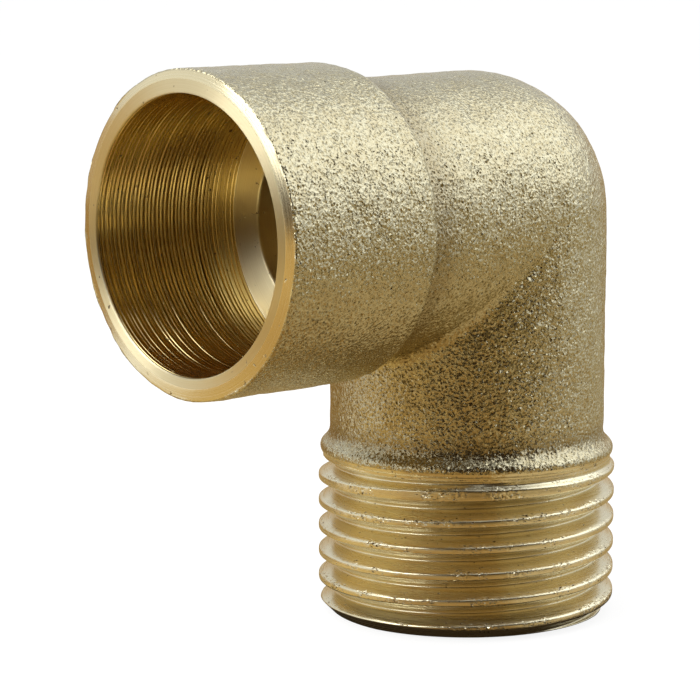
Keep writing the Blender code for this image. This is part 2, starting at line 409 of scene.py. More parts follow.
@dataclass
class ThreadedEnd:
    """The male pipe thread, its chamfered end face, and the collar above it.

    The thread is cut as a die cuts it: the lower of the turned blank and the die's tooth at every point.

    Attributes:
        length_to_corner: Distance from the end face to the neck's axis.
        depth_share: Depth of the groove as a share of the pitch.
        root_share: Width of the groove's root as a share of the pitch.
        first_groove: Height of the groove above the end face where a turn begins.
        full_to: Height up to which the thread is full.
        back_out: Height over which the die then backs out.
        ring_step: Distance between the thread's rings.
        waist_from: Height where the blank narrows under the collar.
        waist_ease: Height over which it narrows.
        bead_skirt: How far below its middle the collar's bead begins.
        bead_turn: Angle of the bead in degrees where the flare leaves it.
        skin_from: How far below the bead's middle the forged skin begins.
        face_share: Last of the evenly spaced rings of the end face, as a share of the way out.
        face_edge: Ring that keeps the end face's edge crisp, as a share of the way out.
    """

    length_to_corner: float
    major_radius: float = 20.955 / 2
    pitch: float = 25.4 / 14
    depth_share: float = 0.6403
    root_share: float = 0.1
    flank_angle: float = math.radians(27.5)
    crest_rounding: float = 0.09
    root_rounding: float = 0.1
    first_groove: float = 0.6
    chamfer: float = 0.8
    full_to: float = 10.4
    back_out: float = 0.75
    ring_step: float = 0.052
    waist_from: float = 10.35
    waist_ease: float = 0.35
    waist_depth: float = 0.32
    bead_radius: float = 10.35
    bead_height: float = 11.61
    bead_rounding: float = 0.6
    bead_skirt: float = 0.45
    bead_turn: float = 50.0
    flare_top: float = 13.1
    flare_steps: int = 24
    skin_from: float = 0.2
    collar_step: float = 0.09
    face_rings: int = 14
    face_share: float = 0.94
    face_edge: float = 0.98
    hole_chamfer: float = 0.35

    @property
    def depth(self) -> float:
        """Depth of the thread's groove."""
        return self.pitch * self.depth_share

    def tooth(self, away: np.ndarray) -> np.ndarray:
        """Shape the groove: straight flanks, with the root and the crests rounded.

        Args:
            away: Distances along the axis from the groove's middle.

        Returns:
            Depth of the groove at each distance.
        """
        flank = self.depth - (away - self.pitch * self.root_share / 2) / math.tan(self.flank_angle)
        cut = (flank + np.hypot(flank, self.crest_rounding)) / 2
        spare = self.depth - cut
        return self.depth - (spare + np.hypot(spare, self.root_rounding)) / 2

    def radius_at(self, height: np.ndarray, leg_radius: float) -> np.ndarray:
        """Give the radius all round at heights above the end face, after the die has cut.

        Args:
            height: Heights of the rings above the end face.
            leg_radius: Radius of the leg above the collar.

        Returns:
            Radii, shaped (rings, points).
        """
        turn = ROUND / math.tau
        nearest = np.round((height[:, None] - self.first_groove) / self.pitch - turn)
        groove = self.first_groove + (nearest + turn) * self.pitch
        backed = np.clip((groove - self.full_to) / self.back_out, 0.0, 1.0)
        back = backed * (self.depth + self.crest_rounding)
        cut = self.major_radius - self.tooth(np.abs(height[:, None] - groove)) + back
        return np.minimum(cut, self.blank(height, leg_radius)[:, None])

    def blank(self, height: np.ndarray, leg_radius: float) -> np.ndarray:
        """Give the radius of the blank before threading: chamfer, plain stretch, waist, bead and flare.

        Args:
            height: Heights of the rings above the end face.
            leg_radius: Radius of the leg above the collar.

        Returns:
            One radius per ring.
        """
        straight = np.minimum(self.major_radius - self.chamfer + height, self.major_radius)
        waist = straight - self.waist_depth * ramp(height, self.waist_from, self.waist_from + self.waist_ease)
        turn = math.radians(self.bead_turn)
        middle = self.bead_radius - self.bead_rounding
        off = np.clip(height - self.bead_height, -self.bead_rounding, self.bead_rounding)
        bead = np.maximum(middle + np.sqrt(self.bead_rounding ** 2 - off ** 2), waist)
        top_height = self.bead_height + self.bead_rounding * math.sin(turn)
        top_radius = middle + self.bead_rounding * math.cos(turn)
        knee = (top_height + (top_radius - leg_radius) / math.tan(turn), leg_radius)
        flare = sweep((top_height, top_radius), knee, (self.flare_top, leg_radius), self.flare_steps)
        flared = np.interp(height, flare[:, 0], flare[:, 1])
        lower = np.where(height > self.bead_height - self.bead_skirt, bead, waist)
        return np.where(height > top_height, flared, lower)

    def bands(self, leg_radius: float, hole_radius: float) -> list[Band]:
        """Turn the end face, cut the thread and form the collar.

        Args:
            leg_radius: Radius of the leg above the collar.
            hole_radius: Radius of the hole in the end face.

        Returns:
            The end face, the thread and the collar, from the bottom up.
        """
        floor = -self.length_to_corner
        threaded = np.arange(0.0, self.bead_height - self.skin_from, self.ring_step)
        collar = evenly(threaded[-1], self.flare_top, self.collar_step)[1:]
        thread = self.radius_at(threaded, leg_radius)
        even = np.linspace(0.0, self.face_share, self.face_rings)
        share = np.concatenate((even, (self.face_edge,)))[:, None]
        face = (hole_radius + self.hole_chamfer) * (1 - share) + thread[:1] * share
        skin = self.radius_at(collar, leg_radius)
        return [
            Band(rings_about(Arm.LEG, np.full(len(face), floor), face), Surface.FACED),
            Band(rings_about(Arm.LEG, threaded + floor, thread), Surface.THREADED),
            Band(rings_about(Arm.LEG, collar + floor, skin), Surface.FORGED),
        ]


@dataclass
class SolderCup:
    """The cup for the copper tube: forged outside, turned rim, bored wall with tool marks, flat tube stop.

    Attributes:
        mouth: Distance from the corner to the cup's mouth.
        rim_flat: Width of the flat ring beside the bore.
        rim_tilt: Slope of the band outside the flat ring.
        lip: Width of the rounded lip outside the sloping band.
        lip_shares: Where the plain skin ends, where the lip's curve starts and where it bends, as distances
            back from the rim in widths of the lip.
        lip_sink: How far the lip's curve starts below the skin.
        slope_shares: Rings of the sloping band, as shares of its width.
        flat_insets: How far the flat's rings keep off its outer edge (the first one, then the rest) and off
            its inner edge, so that the edges stay crisp.
        edge_break: Width of the broken edge of the bore.
        edge_bend: Where the broken edge bends, behind the mouth and outside the bore.
        off_centre: How far the flat ring sits above the bore's axis.
        groove_spacing: Feed of the boring tool for each turn.
        groove_range: Least and most height of a ridge, as shares of the highest.
        groove_wander: Unevenness of the feed, as a share of the spacing.
        groove_sink: How far the wall between the ridges lies outside the bore, as a share of their height.
        stop_corner: Rounding where the bore meets the tube stop.
        hole_edge: Rounding where the tube stop meets the hole.
    """

    mouth: float
    bore_radius: float = 9.05
    wall: float = 1.55
    depth: float = 11.8
    outside_length: float = 12.6
    shoulder_rounding: float = 0.9
    shoulder_fillet: float = 0.3
    rounding_steps: int = 12
    fillet_steps: int = 6
    rim_flat: float = 0.7
    rim_tilt: float = math.radians(16)
    lip: float = 0.06
    lip_shares: tuple[float, float, float] = (2.2, 1.6, 0.4)
    lip_sink: float = 0.008
    lip_steps: int = 6
    slope_shares: tuple[float, ...] = (0.06, 0.25, 0.5, 0.75, 0.95)
    flat_insets: tuple[float, float, float] = (0.02, 0.06, 0.05)
    flat_rings: int = 7
    edge_break: float = 0.1
    edge_bend: tuple[float, float] = (0.03, 0.02)
    edge_steps: int = 4
    off_centre: float = 0.13
    groove_spacing: float = 0.32
    groove_steps: int = 12
    groove_depth: float = 0.075
    groove_range: tuple[float, float] = (0.4, 1.0)
    groove_wander: float = 0.12
    groove_sink: float = 0.2
    groove_seed: int = 5
    spare_grooves: int = 4
    stop_corner: float = 0.08
    corner_steps: int = 3
    stop_rings: int = 20
    hole_edge: float = 0.12

    @property
    def radius(self) -> float:
        """Outside radius of the cup."""
        return self.bore_radius + self.wall

    @property
    def flat_radius(self) -> float:
        """Radius where the rim's flat ring meets its sloping band."""
        return self.bore_radius + self.edge_break + self.rim_flat

    @property
    def rim_drop(self) -> float:
        """How far the sloping band falls back from the mouth."""
        return (self.radius - self.lip - self.flat_radius) * math.tan(self.rim_tilt)

    @property
    def shoulder_foot(self) -> float:
        """Distance from the corner to where the shoulder leaves the neck."""
        return self.mouth - self.outside_length - self.shoulder_fillet

    def outside(self, neck_radius: float) -> list[Band]:
        """Form the shoulder and the skin up to the rim.

        Args:
            neck_radius: Radius of the neck that the shoulder stands on.

        Returns:
            One band of forged skin.
        """
        back, small, large = self.mouth - self.outside_length, self.shoulder_fillet, self.shoulder_rounding
        foot = arc((back - small, neck_radius + small), small, -90, 0, self.fillet_steps)
        brow = arc((back + large, self.radius - large), large, 180, 90, self.rounding_steps)
        side = evenly(back + large, self.mouth - self.rim_drop - self.lip_shares[0] * self.lip)[1:]
        skin = np.column_stack((side, np.full(len(side), self.radius)))
        return [Band(turned(Arm.NECK, np.concatenate((foot, brow, skin, self.lip_curve()))), Surface.FORGED)]

    def lip_curve(self) -> np.ndarray:
        """Round the lip where the skin meets the rim.

        Returns:
            The lip as a profile.
        """
        level = self.mouth - self.rim_drop
        start = (level - self.lip_shares[1] * self.lip, self.radius - self.lip_sink)
        bend = (level - self.lip_shares[2] * self.lip, self.radius)
        return sweep(start, bend, (level, self.radius - self.lip), self.lip_steps)

    def rim(self) -> list[Band]:
        """Turn the rim: a sloping outer band, then a flat ring, then the broken edge of the bore.

        Returns:
            The sloping band, and the flat ring with the broken edge.
        """
        edge, outer = self.bore_radius + self.edge_break, self.flat_radius
        share = np.array(self.slope_shares)[:, None]
        slope = (1 - share) * self.lip_curve()[-1] + share * (self.mouth, outer)
        first, rest, last = self.flat_insets
        between = np.linspace(outer - rest, edge + last, self.flat_rings)
        flat = level_ring(self.mouth, np.concatenate(((outer - first,), between, (edge,))))
        bend = (self.mouth - self.edge_bend[0], self.bore_radius + self.edge_bend[1])
        end = (self.mouth - self.edge_break, self.bore_radius)
        inner = sweep((self.mouth, edge), bend, end, self.edge_steps)[1:]
        profile = np.concatenate((slope, flat, inner))
        rings = turned(Arm.NECK, profile)
        lifted = np.interp(profile[:, 1], (edge, outer, self.radius), (0.0, self.off_centre, 0.0))
        rings[..., 2] += lifted[:, None]
        return [Band(rings[:len(slope)], Surface.CHAMFERED), Band(rings[len(slope):], Surface.TURNED)]

    def grooves(self, phase: np.ndarray) -> np.ndarray:
        """Give the height of the tool's uneven ridges.

        Args:
            phase: Places along the wall, counted in turns of the tool from the tube stop.

        Returns:
            Height at each place.
        """
        random = np.random.default_rng(self.groove_seed)
        count = int(self.depth / self.groove_spacing) + self.spare_grooves
        height = random.uniform(*self.groove_range, count)
        wander = random.normal(0.0, self.groove_wander, count)
        phase = phase + np.interp(phase, np.arange(count), wander)
        ridge = (1.0 - np.abs(np.sin(math.pi * phase))) ** 2
        return self.groove_depth * ridge * np.interp(phase, np.arange(count), height)

    def bore(self, hole_radius: float) -> list[Band]:
        """Bore the wall with the ridges of the tool, and face the tube stop.

        Args:
            hole_radius: Radius of the hole in the tube stop.

        Returns:
            The wall, and the tube stop with its rounded edges.
        """
        stop, wall, small, edge = self.mouth - self.depth, self.bore_radius, self.stop_corner, self.hole_edge
        step = self.groove_spacing / self.groove_steps
        places = evenly(self.mouth - self.edge_break, stop + small, step)[1:]
        ridges = self.grooves((places - stop) / self.groove_spacing)
        bored = np.column_stack((places, wall - ridges + self.groove_depth * self.groove_sink))
        corner = sweep((stop + small, wall), (stop, wall), (stop, wall - small), self.corner_steps)[1:]
        face = level_ring(stop, np.linspace(wall - small, hole_radius + edge, self.stop_rings)[1:])
        brink = sweep((stop, hole_radius + edge), (stop, hole_radius), (stop - edge, hole_radius),
                      self.edge_steps)[1:]
        return [
            Band(turned(Arm.NECK, bored), Surface.BORED),
            Band(turned(Arm.NECK, np.concatenate((corner, face, brink))), Surface.TURNED),
        ]


@dataclass
class Waterway:
    """The hole drilled along the neck and the hole drilled up the leg, meeting at the corner.

    Attributes:
        neck_hole: Radius of the neck's hole.
        leg_hole: Radius of the leg's hole.
        burr: Rounding of the edge where the holes meet.
        point_angle: Angle of the drills' points.
        entry: How far behind the tube stop the neck's first ring lies.
        ring_step: Distance between rings.
    """

    neck_hole: float = 6.6
    leg_hole: float = 7.0
    burr: float = 0.3
    point_angle: float = math.radians(118)
    corner_steps: int = 48
    entry: float = 0.2
    ring_step: float = 0.6

    def inside_holes(self, points: np.ndarray, angle: np.ndarray) -> np.ndarray:
        """Measure from points to the wall of the two holes and the drills' points.

        Args:
            points: Points about the corner.
            angle: Angle of each point's ray; the inner corner is at half a turn.

        Returns:
            Distance outside the wall, less than 0 inside.
        """
        x, y, z = points[..., 0], points[..., 1], points[..., 2]
        slope = math.tan(self.point_angle / 2)
        leg = np.hypot(x, y) + slope * np.maximum(z, 0.0) - self.leg_hole
        neck = np.hypot(z, y) + slope * np.maximum(x, 0.0) - self.neck_hole
        return joined(leg, neck, self.burr * np.maximum(-np.cos(angle), 0.0))

    def bands(self, stop: float, floor: float, chamfer: float) -> list[Band]:
        """Drill the holes, from the tube stop to the thread's end face.

        Args:
            stop: Distance from the corner to the tube stop.
            floor: Height of the end face about the corner.
            chamfer: Width of the chamfer where the leg's hole meets the end face.

        Returns:
            The drilled walls of the neck and of the leg.
        """
        side, drop = self.leg_hole + self.burr, self.neck_hole + self.burr
        reaches = evenly(stop - self.entry, side, self.ring_step)[:-1]
        heights = evenly(-drop, floor + chamfer, self.ring_step)[1:]
        neck = rings_about(Arm.NECK, reaches, np.full(len(reaches), self.neck_hole))
        leg = rings_about(Arm.LEG, heights, np.full(len(heights), self.leg_hole))
        corner = bent(side, drop, self.inside_holes, self.corner_steps)[::-1]
        half = len(corner) // 2
        return [
            Band(np.concatenate((neck, corner[:half])), Surface.DRILLED),
            Band(np.concatenate((corner[half:], leg)), Surface.DRILLED_LEG),
        ]


# Finishes

def add_node(tree: bpy.types.NodeTree, kind: str, inputs: dict | None = None,
             **settings: str) -> bpy.types.Node:
    """Add a node with its settings, values and links.

    Args:
        tree: Node tree to add to.
        kind: Blender's name of the node type.
        inputs: Value for each input socket, or the output socket to link to it.
        settings: Properties of the node.

    Returns:
        The new node.
    """
    made = tree.nodes.new(kind)
    for name, value in settings.items():
        setattr(made, name, value)
    for socket, value in (inputs or {}).items():
        if isinstance(value, bpy.types.NodeSocket):
            tree.links.new(value, made.inputs[socket])
        else:
            made.inputs[socket].default_value = value
    return made


def new_tree(name: str) -> tuple[bpy.types.Material, bpy.types.NodeTree]:
    """Make a material with an empty node tree.

    Args:
        name: Name of the material.

    Returns:
        The material and its tree.
    """
    material = bpy.data.materials.new(name)
    material.use_nodes = True
    material.node_tree.nodes.clear()
    return material, material.node_tree


def glitter(tree: bpy.types.NodeTree, place: bpy.types.NodeSocket, normal: bpy.types.NodeSocket,
            grain_mm: float, lean: float | bpy.types.NodeSocket) -> bpy.types.NodeSocket:
    """Lean every grain of a surface its own way: most of them a little, a few of them far.

    Args:
        tree: Node tree to add to.
        place: Place on the object.
        normal: Normal before leaning.
        grain_mm: Size of a grain.
        lean: How far the usual grain leans, one number or one per place.

    Returns:
        The leaning normal.
    """
    grains = add_node(tree, "ShaderNodeTexVoronoi", {"Vector": place, "Scale": per_metre(grain_mm)})
    spread = add_node(tree, "ShaderNodeVectorMath", {
        0: grains.outputs["Color"], 1: CUBE_MIDDLE}, operation='SUBTRACT').outputs[0]
    far = add_node(tree, "ShaderNodeVectorMath", {0: spread}, operation='LENGTH').outputs["Value"]
    usual = add_node(tree, "ShaderNodeMath", {0: far, 1: 1 / USUAL_SPREAD}, operation='MULTIPLY')
    steep = add_node(tree, "ShaderNodeMath", {0: usual.outputs[0], 1: RARE_POWER}, operation='POWER')
    much = add_node(tree, "ShaderNodeMath", {0: steep.outputs[0], 1: lean}, operation='MULTIPLY')
    offset = add_node(tree, "ShaderNodeVectorMath", {
        0: spread, "Scale": much.outputs[0]}, operation='SCALE')
    leaning = add_node(tree, "ShaderNodeVectorMath", {0: normal, 1: offset.outputs[0]})
    return add_node(tree, "ShaderNodeVectorMath", {0: leaning.outputs[0]}, operation='NORMALIZE').outputs[0]


@dataclass(frozen=True)
class BlastedBrass:
    """Hot-forged brass, shot-blasted and pickled.

    The shot leaves craters a quarter of a millimetre across, so the skin glitters instead of mirroring: pale
    cream where the craters face the light, brown-gold in their shadows, and smooth grey-gold at a glancing
    angle. The low parts of the craters are painted a deeper colour, as painted shade. The corners by the
    collar's flare and the cup's shoulder are painted dark brown, as painted shade.
    """

    name: str = "shot_blasted_forged_brass"
    pale: str = "#CBC6AA"
    deep: str = "#B0A37C"
    warm: str = "#BCB18E"
    # Colour of the painted shade in the corners of the forged skin
    scale: str = "#6A5636"
    crater_mm: float = 0.24
    grain_mm: float = 0.16
    mottle_mm: float = 1.4
    crater_depth_mm: float = 0.05
    facet_mm: float = 0.13
    facet_lean: float = 0.5
    roughness: tuple[float, float] = (0.2, 0.32)

    def material(self) -> bpy.types.Material:
        """Make the material.

        Returns:
            The material.
        """
        material, tree = new_tree(self.name)
        place = add_node(tree, "ShaderNodeTexCoord").outputs["Object"]
        grain = add_node(tree, "ShaderNodeTexNoise", {
            "Vector": place, "Scale": per_metre(self.grain_mm), "Detail": 2.0, "Roughness": 0.55})
        craters = add_node(tree, "ShaderNodeTexVoronoi", {
            "Vector": place, "Scale": per_metre(self.crater_mm), "Smoothness": 0.6}, feature='SMOOTH_F1')
        mottle = add_node(tree, "ShaderNodeTexNoise", {
            "Vector": place, "Scale": per_metre(self.mottle_mm), "Detail": 3.0})
        height = add_node(tree, "ShaderNodeMath", {
            0: craters.outputs["Distance"], 1: grain.outputs["Fac"]}, operation='ADD')
        # The low parts of the crater relief take the deep colour: painted shade in the hollows, on top of the
        # bump's own shading
        shade = add_node(tree, "ShaderNodeMapRange", {
            "Value": height.outputs[0], "From Min": 0.45, "From Max": 1.15})
        tone = add_node(tree, "ShaderNodeMix", {
            MIX_FACTOR: shade.outputs[0], MIX_FROM: linear_colour(self.deep),
            MIX_TO: linear_colour(self.pale)}, data_type='RGBA')
        patch = add_node(tree, "ShaderNodeMapRange", {
            "Value": mottle.outputs["Fac"], "From Min": 0.4, "From Max": 0.7, "To Max": 0.5})
        metal = add_node(tree, "ShaderNodeMix", {
            MIX_FACTOR: patch.outputs[0], MIX_FROM: tone.outputs[MIX_OUT],
            MIX_TO: linear_colour(self.warm)}, data_type='RGBA')
        # Painted shade: the mesh layer mixes the corners towards the dark brown
        kept = add_node(tree, "ShaderNodeAttribute", attribute_name=SCALE_LAYER).outputs["Fac"]
        colour = add_node(tree, "ShaderNodeMix", {
            MIX_FACTOR: kept, MIX_FROM: metal.outputs[MIX_OUT],
            MIX_TO: linear_colour(self.scale)}, data_type='RGBA')
        rough = add_node(tree, "ShaderNodeMapRange", {
            "Value": grain.outputs["Fac"], "From Min": 0.3, "From Max": 0.7,
            "To Min": self.roughness[0], "To Max": self.roughness[1]})
        bump = add_node(tree, "ShaderNodeBump", {
            "Height": height.outputs[0], "Strength": 1.0, "Distance": self.crater_depth_mm * MM})
        normal = glitter(tree, place, bump.outputs[0], self.facet_mm, self.facet_lean)
        shader = add_node(tree, "ShaderNodeBsdfPrincipled", {
            "Base Color": colour.outputs[MIX_OUT], "Metallic": 1.0, "Roughness": rough.outputs[0],
            "Normal": normal})
        add_node(tree, "ShaderNodeOutputMaterial", {"Surface": shader.outputs[0]})
        return material


@dataclass(frozen=True)
class MachinedBrass:
    """Brass cut by a tool that went round an axis.

    The tool's feed leaves fine rings, so the metal is bright and fans its highlights out across the rings.
    Small pores of the forging open as dark pits. A die also tears the thread's crests in patches, and the
    torn metal glitters.

    Attributes:
        arm: The arm whose axis the tool went round.
        bright: Colour on the rings.
        dull: Colour between the rings.
        feed_mm: Distance between rings.
        feed_depth_mm: Depth of the rings.
        along_axis: Whether the tool fed along the axis, as in a bore, and not across it, as on a face.
        pit_share: Height of the pores' noise above which they open as pits.
        pit_edge: How far above that a pit is fully open.
        pit_stretch: How much longer the pits are round the axis than along it.
        pit_depth: Depth of a pit in depths of a ring.
        torn_from_mm: Distance from the axis where torn metal begins, or 0 where none is torn.
        torn_ease_mm: Distance over which it grows.
        torn_patch_mm: Size of the torn patches.
        torn_pits: How much lower the pores open in torn metal.
        torn_grain_mm: Size of the torn grains.
        torn_lean: How far the usual torn grain leans.
    """

    name: str
    arm: Arm
    bright: str = "#F0E8C8"
    dull: str = "#DCCEA2"
    pit_colour: str = "#5A4526"
    feed_mm: float = 0.09
    feed_depth_mm: float = 0.004
    along_axis: bool = False
    pit_mm: float = 0.5
    pit_share: float = 0.68
    pit_edge: float = 0.06
    pit_stretch: float = 1.0
    pit_depth: float = 6.0
    roughness: tuple[float, float] = (0.2, 0.3)
    anisotropy: float = 0.9
    torn_from_mm: float = 0.0
    torn_ease_mm: float = 0.2
    torn_patch_mm: float = 2.2
    torn_pits: float = 0.06
    torn_grain_mm: float = 0.1
    torn_lean: float = 0.5

    def torn(self, tree: bpy.types.NodeTree, place: bpy.types.NodeSocket,
             radius: bpy.types.NodeSocket) -> bpy.types.NodeSocket:
        """Give the share of torn metal.

        Args:
            tree: Node tree to add to.
            place: Place on the object.
            radius: Distance from the axis in metres.

        Returns:
            The share, from 0 to 1.
        """
        patches = add_node(tree, "ShaderNodeTexNoise", {
            "Vector": place, "Scale": per_metre(self.torn_patch_mm)})
        patch = add_node(tree, "ShaderNodeMapRange", {
            "Value": patches.outputs["Fac"], "From Min": 0.4, "From Max": 0.58})
        return add_node(tree, "ShaderNodeMapRange", {
            "Value": radius, "From Min": self.torn_from_mm * MM,
            "From Max": (self.torn_from_mm + self.torn_ease_mm) * MM, "To Max": patch.outputs[0]}).outputs[0]

    def material(self, corner: tuple[float, float, float]) -> bpy.types.Material:
        """Make the material.

        Args:
            corner: Place where the two axes cross, in metres.

        Returns:
            The material.
        """
        material, tree = new_tree(self.name)
        place = add_node(tree, "ShaderNodeTexCoord").outputs["Object"]
        axis = (1.0, 0.0, 0.0) if self.arm is Arm.NECK else (0.0, 0.0, 1.0)
        across = tuple(1.0 - part for part in axis)
        longer = tuple(1.0 + (self.pit_stretch - 1.0) * part for part in axis)
        offset = add_node(tree, "ShaderNodeVectorMath", {
            0: place, 1: corner}, operation='SUBTRACT').outputs[0]
        around = add_node(tree, "ShaderNodeVectorMath", {0: axis, 1: offset}, operation='CROSS_PRODUCT')
        tangent = add_node(tree, "ShaderNodeVectorMath", {0: around.outputs[0]}, operation='NORMALIZE')
        flat = add_node(tree, "ShaderNodeVectorMath", {0: offset, 1: across}, operation='MULTIPLY')
        radius = add_node(tree, "ShaderNodeVectorMath", {0: flat.outputs[0]}, operation='LENGTH')
        feed = radius
        if self.along_axis:
            feed = add_node(tree, "ShaderNodeVectorMath", {0: offset, 1: axis}, operation='DOT_PRODUCT')
        rings = add_node(tree, "ShaderNodeTexNoise", {
            "W": feed.outputs["Value"], "Scale": per_metre(self.feed_mm), "Detail": 2.0, "Roughness": 0.6},
            noise_dimensions='1D').outputs["Fac"]
        stretch = add_node(tree, "ShaderNodeVectorMath", {0: offset, 1: longer}, operation='MULTIPLY')
        pores = add_node(tree, "ShaderNodeTexNoise", {
            "Vector": stretch.outputs[0], "Scale": per_metre(self.pit_mm), "Detail": 3.0,
            "Roughness": 0.6}).outputs["Fac"]
        torn = None
        if self.torn_from_mm:
            torn = self.torn(tree, place, radius.outputs["Value"])
            pores = add_node(tree, "ShaderNodeMath", {
                0: torn, 1: self.torn_pits, 2: pores}, operation='MULTIPLY_ADD').outputs[0]
        pits = add_node(tree, "ShaderNodeMapRange", {
            "Value": pores, "From Min": self.pit_share,
            "From Max": self.pit_share + self.pit_edge}).outputs[0]
        metal = add_node(tree, "ShaderNodeMix", {
            MIX_FACTOR: rings, MIX_FROM: linear_colour(self.dull), MIX_TO: linear_colour(self.bright)},
            data_type='RGBA')
        colour = add_node(tree, "ShaderNodeMix", {
            MIX_FACTOR: pits, MIX_FROM: metal.outputs[MIX_OUT], MIX_TO: linear_colour(self.pit_colour)},
            data_type='RGBA')
        rough = add_node(tree, "ShaderNodeMapRange", {
            "Value": rings, "From Min": 0.3, "From Max": 0.7,
            "To Min": self.roughness[0], "To Max": self.roughness[1]})
        relief = add_node(tree, "ShaderNodeMath", {
            0: pits, 1: -self.pit_depth, 2: rings}, operation='MULTIPLY_ADD')
        normal = add_node(tree, "ShaderNodeBump", {
            "Height": relief.outputs[0], "Strength": 1.0, "Distance": self.feed_depth_mm * MM}).outputs[0]
        if torn is not None:
            lean = add_node(tree, "ShaderNodeMath", {0: torn, 1: self.torn_lean}, operation='MULTIPLY')
            normal = glitter(tree, place, normal, self.torn_grain_mm, lean.outputs[0])
        shader = add_node(tree, "ShaderNodeBsdfPrincipled", {
            "Base Color": colour.outputs[MIX_OUT], "Metallic": 1.0, "Roughness": rough.outputs[0],
            "Anisotropic": self.anisotropy, "Anisotropic Rotation": ACROSS_RINGS,
            "Tangent": tangent.outputs[0], "Normal": normal})
        add_node(tree, "ShaderNodeOutputMaterial", {"Surface": shader.outputs[0]})
        return material


# Faced on the lathe: a satin ring whose highlight opens to a wide fan
TURNED_FACE = MachinedBrass("turned_brass_face", Arm.NECK, roughness=(0.38, 0.46), anisotropy=0.96)

# Chamfered with a form tool: smoother, so its highlight is narrower than that of the face beside it
CHAMFERED_EDGE = MachinedBrass("chamfered_brass_edge", Arm.NECK, roughness=(0.2, 0.28), anisotropy=0.8)

# Bored: nearly a mirror, and deep gold because it mirrors itself
BORED_WALL = MachinedBrass(
    "bored_brass_wall", Arm.NECK, bright="#E6D5A0", dull="#CAB378", along_axis=True, feed_mm=0.14,
    feed_depth_mm=0.006, roughness=(0.12, 0.2), anisotropy=0.3)

# Cut by a die: satin flanks, with chips and torn metal on the crests
CUT_THREAD = MachinedBrass(
    "die_cut_brass_thread", Arm.LEG, bright="#F1EDD6", dull="#DDD3AD", along_axis=True, feed_mm=0.12,
    feed_depth_mm=0.003, pit_mm=0.3, pit_stretch=2.0, pit_share=0.66, roughness=(0.23, 0.34), anisotropy=0.3,
    torn_from_mm=10.05)

# Drilled: the coarsest and dullest of the cut walls
DRILLED_WALL = MachinedBrass(
    "drilled_brass_wall", Arm.NECK, bright="#EEE0B4", dull="#DAC692", along_axis=True, feed_mm=0.25,
    feed_depth_mm=0.01, roughness=(0.35, 0.5), anisotropy=0.3)

# The thread's end face and the leg's hole are cut like the face and the wall above, about the leg's axis
MACHINED: dict[Surface, MachinedBrass] = {
    Surface.TURNED: TURNED_FACE,
    Surface.BORED: BORED_WALL,
    Surface.THREADED: CUT_THREAD,
    Surface.DRILLED: DRILLED_WALL,
    Surface.CHAMFERED: CHAMFERED_EDGE,
    Surface.FACED: replace(TURNED_FACE, name="faced_brass_end", arm=Arm.LEG),
    Surface.DRILLED_LEG: replace(DRILLED_WALL, name="drilled_brass_leg", arm=Arm.LEG),
}


# The elbow

